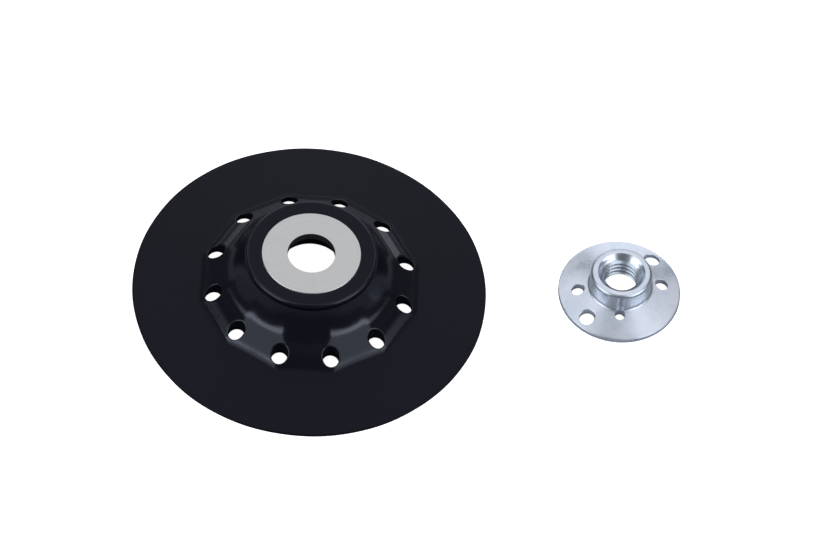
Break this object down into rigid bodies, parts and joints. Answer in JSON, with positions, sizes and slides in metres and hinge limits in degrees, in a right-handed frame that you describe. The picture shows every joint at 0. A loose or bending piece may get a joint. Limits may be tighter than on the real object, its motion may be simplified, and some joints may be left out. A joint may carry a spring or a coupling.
{
  "type": "sanding disc backing pad",
  "caption": "Round dished plastic backing pad with a faceted, vented hub and steel thrust plate, and a loose flanged lock nut that clamps a fibre sanding disc to it.",
  "frame": {"origin": "centre of the pad's disc face, on the spindle axis, level with the surface that the pad and the nut lie on", "axes": "+Z along the spindle axis towards the tool; +X towards the side where the loose nut lies"},
  "size_m": [0.1938, 0.125, 0.0225],
  "materials": {
    "pad_plastic": "moulded black plastic, satin web and glossy flank",
    "plate_steel": "turned steel, fine concentric marks",
    "nut_zinc": "bright zinc plate"
  },
  "bodies": {
    "pad": {"pad_body": "pad_plastic", "thrust_plate": "plate_steel"},
    "nut": {"lock_nut": "nut_zinc"}
  },
  "joints": [
    {"name": "nut_turn", "type": "hinge", "parent": "pad", "child": "nut", "pos_m": [0.10961, 0.00728, 0], "axis": [0, 0, 1], "continuous": true}
  ]
}
